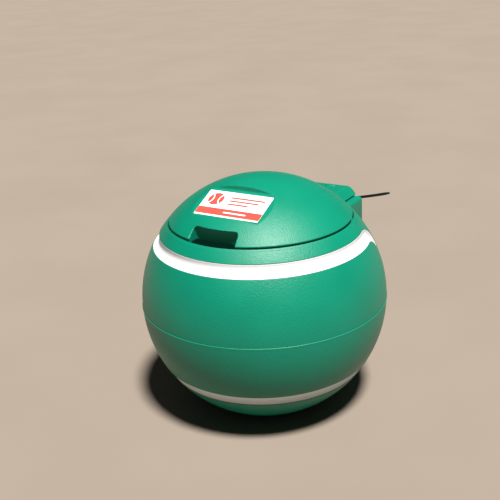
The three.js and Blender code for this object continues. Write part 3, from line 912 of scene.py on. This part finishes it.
def back_plate():
    """The plate that bears on the post, with countersunk holes and the ties' slots."""
    plate = flat_plate("rear_plate", PLATE_W, PLATE_H, PLATE_CORNER, PLATE_FRONT, PLATE_BACK, PLATE_EDGE)
    straight = [(0, -9), (BOLT_HOLE_R, -9), (BOLT_HOLE_R, -2.6)]
    countersunk = straight + [(6.2, 0.2), (6.2, 3), (0, 3)]
    for x, z in bolt_places():
        cut(plate, along_y(lathe("hole", countersunk, 48), x, PLATE_BACK, z))
    half_x, half_z = TIE_SLOT_HALF
    for side in (-1, 1):
        for up in (-1, 1):
            x, z = side * TIE_R, PLATE_Z + up * TIE_Z
            slot = rectangle(x - half_x, z - half_z, x + half_x, z + half_z, TIE_SLOT_R)
            cut(plate, prism("slot", slot, PLATE_FRONT - 5, PLATE_BACK + 5))
    return plate


def spreader_plate():
    """The plate inside the ball that spreads the bolts' load."""
    low, high = SPREADER_LOW, SPREADER_HIGH
    width, height = high.x - low.x, high.z - low.z
    plate = flat_plate("inner_plate", width, height, SPREADER_CORNER, low.y, high.y, SPREADER_EDGE)
    for x, z in bolt_places():
        cut(plate, along_y(bar("hole", BOLT_HOLE_R, -20, 20, "z", 40), x, PLATE_FRONT, z))
    return plate


def hexagon(across, low, high):
    """A six-sided bar along Z, from its size across the flats."""
    return prism("hexagon", circle(0, 0, across / math.sqrt(3), 6), low, high, "z")


def thread(radius, low, high):
    """The crests and roots of a thread, between two heights."""
    root = radius - THREAD_DEPTH
    points = []
    for i in range(int((high - low) / THREAD_PITCH)):
        z = low + i * THREAD_PITCH
        points += [(root, z + 0.1), (radius, z + 0.42), (radius, z + 0.58), (root, z + 0.9)]
    return points


def plate_bolt(spot):
    """A countersunk bolt with a six-sided socket; its head is flush with the plate's rear face."""
    tip = BOLT_TIP - PLATE_BACK
    profile = [(0, tip), (2.2, tip), *thread(3, tip + 0.8, -6), (3, -5.6), (3, -2.8)]
    profile += [(5.6, -0.35), (5.8, -0.2), (5.6, 0), (0, 0)]
    bolt = lathe("bolt", profile, 40)
    cut(bolt, hexagon(4, -2.1, 1))
    return along_y(bolt, spot[0], PLATE_BACK, spot[1])


def plate_washer(spot):
    low, high = WASHER_SPAN
    profile = [(6.2, low, 0.3), (6.2, high, 0.3), (3.3, high, 0.2), (3.3, low, 0.2)]
    washer = lathe("washer", rounded(profile, closed=True), 48)
    return along_y(washer, spot[0], 0, spot[1])


def plate_nut(spot):
    """A hexagonal nut with its corners turned off and a threaded bore."""
    low, high = NUT_SPAN
    corner = 5.8
    nut = hexagon(corner * math.sqrt(3), low, high)
    wide, edge = corner + 0.2, 0.75
    turned = [(0, low), (4.9, low), (wide, low + edge), (wide, high - edge), (4.9, high), (0, high)]
    join(nut, lathe("corners", turned, 64), "INTERSECT")
    bore = [(0, low - 1), (3.6, low - 1), (3.6, low), (3.05, low + 0.5), (3.05, high - 0.5), (3.6, high)]
    bore += [(3.6, high + 1), (0, high + 1)]
    cut(nut, lathe("bore", bore, 40))
    return along_y(nut, spot[0], 0, spot[1])


# ---- the ties ----

def sweep(name, path, half_width, half_thick, closed):
    """A flat strap with round edges along a path, with its width upright. The half sizes may
    change from point to point."""
    count, sides = len(path), 4
    rings = []
    for i, p in enumerate(path):
        before = path[i - 1] if closed or i else p
        after = path[(i + 1) % count] if closed or i < count - 1 else p
        run = (after - before).normalized()
        out = run.cross(UP).normalized()
        side = out.cross(run).normalized()
        w, t = half_width[i], half_thick[i]
        edge = min(w, t) * 0.55
        ring = []
        for cw, ct, turned in ((w, t, 0), (-w, t, 90), (-w, -t, 180), (w, -t, 270)):
            mw, mt = cw - math.copysign(edge, cw), ct - math.copysign(edge, ct)
            for k in range(sides):
                a = math.radians(turned + 90 * k / (sides - 1))
                ring.append(p + side * (mw + edge * math.cos(a)) + out * (mt + edge * math.sin(a)))
        rings.append(ring)
    return loft(name, rings, closed)


def tie_path():
    """The middle of a tie's loop, seen from above, with its origin on the plate's rear face."""
    front = PLATE_FRONT - PLATE_BACK - 2.3
    outline = [(-TIE_R, front, 3), (TIE_R, front, 3), (TIE_R, POST_R, 0)]
    outline += [(*p, 0) for p in bent(0, POST_R, TIE_R, 0, 180, 49)[1:-1]]
    outline += [(-TIE_R, POST_R, 0)]
    return rounded(outline, closed=True)


def cable_tie(z, tail_length):
    """A tie round the post: its loop, its head, and the tail with its fine teeth."""
    origin = Vector((0, PLATE_BACK, z))
    loop = [origin + Vector((x, y, 0)) for x, y in tie_path()]
    count = len(loop)
    strap = sweep("strap", loop, [TIE_WIDTH / 2] * count, [TIE_THICK / 2] * count, True)
    low = (TIE_R - 0.5, PLATE_BACK + 16, z - 4)
    high = (TIE_R + 6, PLATE_BACK + 24, z + 4)
    head = bevel(block_box("head", low, high), 1.1, 3)
    rise = math.radians(TAIL_RISE)
    steps = max(8, int(tail_length / TOOTH_STEP))
    path, widths, thicks = [], [], []
    for i in range(steps + 1):
        s = tail_length * i / steps
        t = s / tail_length
        sag = 1.2 * math.sin(math.pi * t)
        x, y = TIE_R + 1 + s * math.cos(rise), 20 + 1.2 * t * t
        path.append(origin + Vector((x, y, s * math.sin(rise) - sag)))
        tip = min(1, (tail_length - s) / 9)
        widths.append(TIE_WIDTH / 2 * (0.45 + 0.55 * math.sqrt(max(0.0, tip))))
        toothed = TOOTH_DEPTH if 8 < s < tail_length - 12 and i % 2 else 0
        thicks.append(TIE_THICK / 2 - toothed)
    tail = sweep("tail", path, widths, thicks, False)
    low = (TIE_R + 4.6, PLATE_BACK + 18.2, z - 2.9)
    high = (TIE_R + 8, PLATE_BACK + 21.8, z + 2.9)
    cut(head, block_box("mouth", low, high))
    add(strap, head)
    return add(strap, tail)


# ---- materials ----

class Nodes:
    """A short way to build a procedural material round one Principled shader."""

    def __init__(self, name):
        self.material = bpy.data.materials.new(name)
        self.material.use_nodes = True
        self.tree = self.material.node_tree
        self.shader = next(n for n in self.tree.nodes if n.type == "BSDF_PRINCIPLED")
        self.place = self.new("ShaderNodeTexCoord").outputs["Object"]

    def new(self, kind, **values):
        node = self.tree.nodes.new(kind)
        for key, value in values.items():
            setattr(node, key, value)
        return node

    def link(self, source, target):
        self.tree.links.new(source, target)

    def feed(self, socket, source):
        self.link(source, self.shader.inputs[socket])

    def stretched(self, scale):
        node = self.new("ShaderNodeMapping")
        node.inputs["Scale"].default_value = scale
        self.link(self.place, node.inputs["Vector"])
        return node.outputs["Vector"]

    def noise(self, scale, detail=3.0, rough=0.55, where=None):
        node = self.new("ShaderNodeTexNoise")
        node.inputs["Scale"].default_value = scale
        node.inputs["Detail"].default_value = detail
        node.inputs["Roughness"].default_value = rough
        self.link(where or self.place, node.inputs["Vector"])
        return node.outputs["Fac"]

    def cells(self, scale):
        node = self.new("ShaderNodeTexVoronoi")
        node.inputs["Scale"].default_value = scale
        self.link(self.place, node.inputs["Vector"])
        return node

    def spread(self, source, low, high, start=0.0, end=1.0):
        node = self.new("ShaderNodeMapRange")
        node.inputs["From Min"].default_value = start
        node.inputs["From Max"].default_value = end
        node.inputs["To Min"].default_value = low
        node.inputs["To Max"].default_value = high
        self.link(source, node.inputs["Value"])
        return node.outputs["Result"]

    def colours(self, source, *stops):
        node = self.new("ShaderNodeValToRGB")
        ramp = node.color_ramp
        while len(ramp.elements) < len(stops):
            ramp.elements.new(0.5)
        for element, (at, colour) in zip(ramp.elements, stops):
            element.position = at
            element.color = (*colour, 1)
        self.link(source, node.inputs["Fac"])
        return node.outputs["Color"]

    def sum(self, a, b, share):
        node = self.new("ShaderNodeMath", operation="MULTIPLY_ADD")
        self.link(b, node.inputs[0])
        node.inputs[1].default_value = share
        self.link(a, node.inputs[2])
        return node.outputs[0]

    def bump(self, height, strength, depth):
        node = self.new("ShaderNodeBump")
        node.inputs["Strength"].default_value = strength
        node.inputs["Distance"].default_value = depth
        self.link(height, node.inputs["Height"])
        self.feed("Normal", node.outputs["Normal"])

    def painted_glow_inside(self):
        """Painted glow: an emission on the surfaces inside the ball, standing in for daylight that comes
        through the wall.
        """
        far = self.new("ShaderNodeVectorMath", operation="DISTANCE")
        self.link(self.place, far.inputs[0])
        far.inputs[1].default_value = CENTRE
        edge = (BALL_R - 2) * MM
        inside = self.spread(far.outputs["Value"], 1.0, 0.0, edge - 0.002, edge)
        # the painted glow's colour
        self.shader.inputs["Emission Color"].default_value = (0.002, 0.016, 0.01, 1)
        self.feed("Emission Strength", inside)

    def set(self, **values):
        for key, value in values.items():
            self.shader.inputs[key.replace("_", " ")].default_value = value


def moulded(name, dark, base, light, rough, grain):
    """Rotomoulded polyethylene: the sandy grain of a blasted mould, and a soft waxy gloss."""
    m = Nodes(name)
    broad = m.noise(7, 2)
    speck = m.noise(900, 2, 0.6)
    mixed = m.sum(m.spread(broad, 0.25, 0.75, 0.3, 0.7), m.spread(speck, -1, 1, 0.25, 0.75), 0.12)
    m.feed("Base Color", m.colours(mixed, (0.15, dark), (0.5, base), (0.9, light)))
    gloss = m.spread(m.sum(broad, speck, 0.6), rough - 0.06, rough + 0.1, 0.4, 1.1)
    m.feed("Roughness", gloss)
    coarse = m.noise(560, 2, 0.5)
    m.bump(m.sum(coarse, speck, 0.55), grain, 0.0006)
    m.set(Specular_IOR_Level=0.32, IOR=1.5)
    # painted glow on the surfaces inside the ball, in place of daylight through the wall
    m.painted_glow_inside()
    return m.material


def vinyl(name, colour, faded):
    """Printed vinyl, a little faded and worn in patches."""
    m = Nodes(name)
    wear = m.noise(60, 4)
    m.feed("Base Color", m.colours(wear, (0.3, colour), (0.8, faded)))
    m.feed("Roughness", m.spread(m.noise(180, 3), 0.32, 0.46, 0.3, 0.7))
    m.bump(m.noise(320, 2), 0.12, 0.0002)
    m.set(Specular_IOR_Level=0.5)
    return m.material


def brushed(name, dark, light):
    """Stainless steel with fine turned or drawn lines."""
    m = Nodes(name)
    lines = m.noise(1, 3, 0.6, m.stretched((60, 900, 900)))
    m.feed("Base Color", m.colours(lines, (0.3, dark), (0.7, light)))
    m.feed("Roughness", m.spread(lines, 0.24, 0.4, 0.3, 0.7))
    m.bump(lines, 0.15, 0.00006)
    m.set(Metallic=1.0)
    return m.material


def galvanised(name):
    """Zinc spangle: flat crystals a few millimetres across, each a little lighter or duller."""
    m = Nodes(name)
    crystals = m.cells(230)
    shade = m.new("ShaderNodeSeparateColor")
    m.link(crystals.outputs["Color"], shade.inputs["Color"])
    tone = m.sum(shade.outputs["Red"], m.noise(90, 4), 0.35)
    dull, middle, light = (0.42, 0.435, 0.45), (0.52, 0.54, 0.555), (0.62, 0.645, 0.66)
    zinc = m.colours(tone, (0.1, dull), (0.6, middle), (1, light))
    m.feed("Base Color", zinc)
    m.feed("Roughness", m.spread(shade.outputs["Green"], 0.34, 0.56))
    m.bump(m.sum(shade.outputs["Blue"], m.noise(500, 3), 0.5), 0.2, 0.0001)
    m.set(Metallic=0.95)
    return m.material


def nylon(name, dark, light, rough):
    """Moulded nylon with a fine satin grain."""
    m = Nodes(name)
    m.feed("Base Color", m.colours(m.noise(140, 4), (0.3, dark), (0.75, light)))
    m.feed("Roughness", m.spread(m.noise(700, 3), rough - 0.08, rough + 0.12, 0.3, 0.7))
    m.bump(m.noise(900, 2), 0.15, 0.0002)
    m.set(Specular_IOR_Level=0.5)
    return m.material


MATERIALS = {
    "green_polyethylene": moulded(
        "green_polyethylene",
        (0.0002, 0.152, 0.09), (0.0003, 0.172, 0.102), (0.0008, 0.192, 0.115), 0.35, 0.75),
    "white_polyethylene": moulded(
        "white_polyethylene",
        (0.6, 0.6, 0.615), (0.66, 0.66, 0.67), (0.7, 0.7, 0.705), 0.45, 0.3),
    "label_vinyl": vinyl("label_vinyl", (0.84, 0.84, 0.85), (0.8, 0.8, 0.81)),
    "label_red": vinyl("label_red", (0.6, 0.06, 0.042), (0.55, 0.066, 0.048)),
    "stainless_steel": brushed("stainless_steel", (0.5, 0.5, 0.5), (0.66, 0.66, 0.65)),
    "galvanised_steel": galvanised("galvanised_steel"),
    "black_nylon": nylon("black_nylon", (0.008, 0.008, 0.009), (0.018, 0.018, 0.02), 0.42),
    "natural_nylon": nylon("natural_nylon", (0.66, 0.62, 0.52), (0.74, 0.71, 0.62), 0.4),
}


# ---- putting the pieces in place ----

def smooth(obj, angle):
    """Smooth shading up to an angle. Corners on the ball's surface get the ball's own normal."""
    mesh = obj.data
    for polygon in mesh.polygons:
        polygon.use_smooth = True
    mesh.set_sharp_from_angle(angle=math.radians(angle))
    points = mesh_points(obj) - np.array(CENTRE)
    far = np.linalg.norm(points, axis=1)
    skin = 0.08 * MM
    on_ball_skin = np.abs(far - BALL_R * MM) < skin
    if not on_ball_skin.any():
        return
    corners = np.zeros(len(mesh.loops), np.int32)
    mesh.loops.foreach_get("vertex_index", corners)
    normals = np.zeros(len(mesh.loops) * 3, np.float32)
    mesh.corner_normals.foreach_get("vector", normals)
    normals = normals.reshape(-1, 3)
    radial = (points / far[:, None])[corners]
    true = on_ball_skin[corners] & ((normals * radial).sum(axis=1) > 0.85)
    normals[true] = radial[true]
    mesh.normals_split_custom_set(normals.tolist())


def place(obj, name, slot_name, body, nodes=(), angle=35):
    """Scales a piece to metres, moves it to the row's frame, and hangs it on its body."""
    obj.name = name
    obj.data.name = name
    turn(obj, Matrix.Translation(CENTRE) @ Matrix.Scale(MM, 4))
    smooth(obj, angle)
    obj.data.materials.clear()
    obj.data.materials.append(MATERIALS[slot_name])
    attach(obj, body)
    if nodes:
        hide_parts(*nodes)
    return obj


place(ball_body(), "ball_body", "green_polyethylene", "bin_body", ["body_shell"], 40)
place(seam_band(), "white_band", "white_polyethylene", "bin_body", ["seam_band"])
place(lid_dome(), "lid_dome", "green_polyethylene", "lid", ["lid_shell"], 60)
place(label_plate(), "label_plate", "label_vinyl", "lid", ["lid_label"])
for piece, slot_name in label_prints():
    place(piece, piece.name, slot_name, "lid")
place(hinge_pin(), "hinge_pin_rod", "stainless_steel", "lid", ["hinge_pin"])
place(pin_plug(), "pin_plug", "green_polyethylene", "lid", ["hinge_pin_plug"])
for side, word in ((-1, "left"), (1, "right")):
    place(hinge_bush(side), "bush_" + word, "natural_nylon", "bin_body", ["hinge_bush_" + word])
place(back_plate(), "rear_plate", "galvanised_steel", "bin_body", ["back_plate"])
place(spreader_plate(), "inner_plate", "galvanised_steel", "bin_body", ["spreader_plate"])
for i, spot in enumerate(bolt_places(), 1):
    for make, word in ((plate_bolt, "bolt"), (plate_washer, "washer"), (plate_nut, "nut")):
        numbered = "%s_%d" % (word, i)
        place(make(spot), "rear_" + numbered, "stainless_steel", "bin_body", ["plate_" + numbered])
for word, up, length in (("upper", 1, TAIL_LENGTH), ("lower", -1, TAIL_LENGTH / 3)):
    tie = cable_tie(PLATE_Z + up * TIE_Z, length)
    place(tie, word + "_tie", "black_nylon", "bin_body", [word + "_cable_tie"])


# ---- the stage, the lights and the camera ----

def floor():
    """A plain pale floor at the height of the ball's base."""
    mesh = bpy.data.meshes.new("floor")
    h, z = FLOOR_HALF, body_low.z
    corners = [(-h, -h, z), (h, -h, z), (h, h, z), (-h, h, z)]
    mesh.from_pydata(corners, [], [(0, 1, 2, 3)])
    obj = bpy.data.objects.new("floor", mesh)
    bpy.context.scene.collection.objects.link(obj)
    m = Nodes("pale_floor")
    tone = m.colours(m.noise(3, 3), (0.3, (0.2, 0.162, 0.127)), (0.7, (0.212, 0.173, 0.137)))
    m.feed("Base Color", tone)
    m.set(Roughness=0.9)
    mesh.materials.append(m.material)


def key_light():
    """A soft sun, high up on the right."""
    away = on_sphere(math.radians(SUN_AZIMUTH), math.radians(SUN_HEIGHT))
    data = bpy.data.lights.new("key", "SUN")
    data.angle = math.radians(SUN_ANGLE)
    data.energy = SUN_ENERGY
    data.color = (1, 0.985, 0.96)
    obj = bpy.data.objects.new("key", data)
    obj.location = CENTRE + 4 * away
    obj.rotation_euler = away.to_track_quat("Z", "Y").to_euler()
    bpy.context.scene.collection.objects.link(obj)


def sky():
    """A faint, even fill light."""
    world = bpy.data.worlds.new("studio")
    world.use_nodes = True
    back = next(n for n in world.node_tree.nodes if n.type == "BACKGROUND")
    back.inputs["Color"].default_value = (0.9, 0.93, 1, 1)
    back.inputs["Strength"].default_value = SKY_STRENGTH
    bpy.context.scene.world = world


def camera():
    """The camera, turned by its heading, its tilt and its roll."""
    data = bpy.data.cameras.new("camera")
    data.lens = LENS
    data.sensor_width = 36
    data.clip_start = 0.05
    data.clip_end = 120
    obj = bpy.data.objects.new("camera", data)
    turned = (
        Matrix.Rotation(math.radians(CAMERA_HEADING), 4, "Z")
        @ Matrix.Rotation(math.radians(90 - CAMERA_DOWN), 4, "X")
        @ Matrix.Rotation(math.radians(CAMERA_ROLL), 4, "Z")
    )
    obj.matrix_world = Matrix.Translation(CENTRE + CAMERA_FROM_CENTRE) @ turned
    bpy.context.scene.collection.objects.link(obj)
    bpy.context.scene.camera = obj


floor()
key_light()
sky()
camera()
bpy.context.scene.view_settings.view_transform = "Standard"
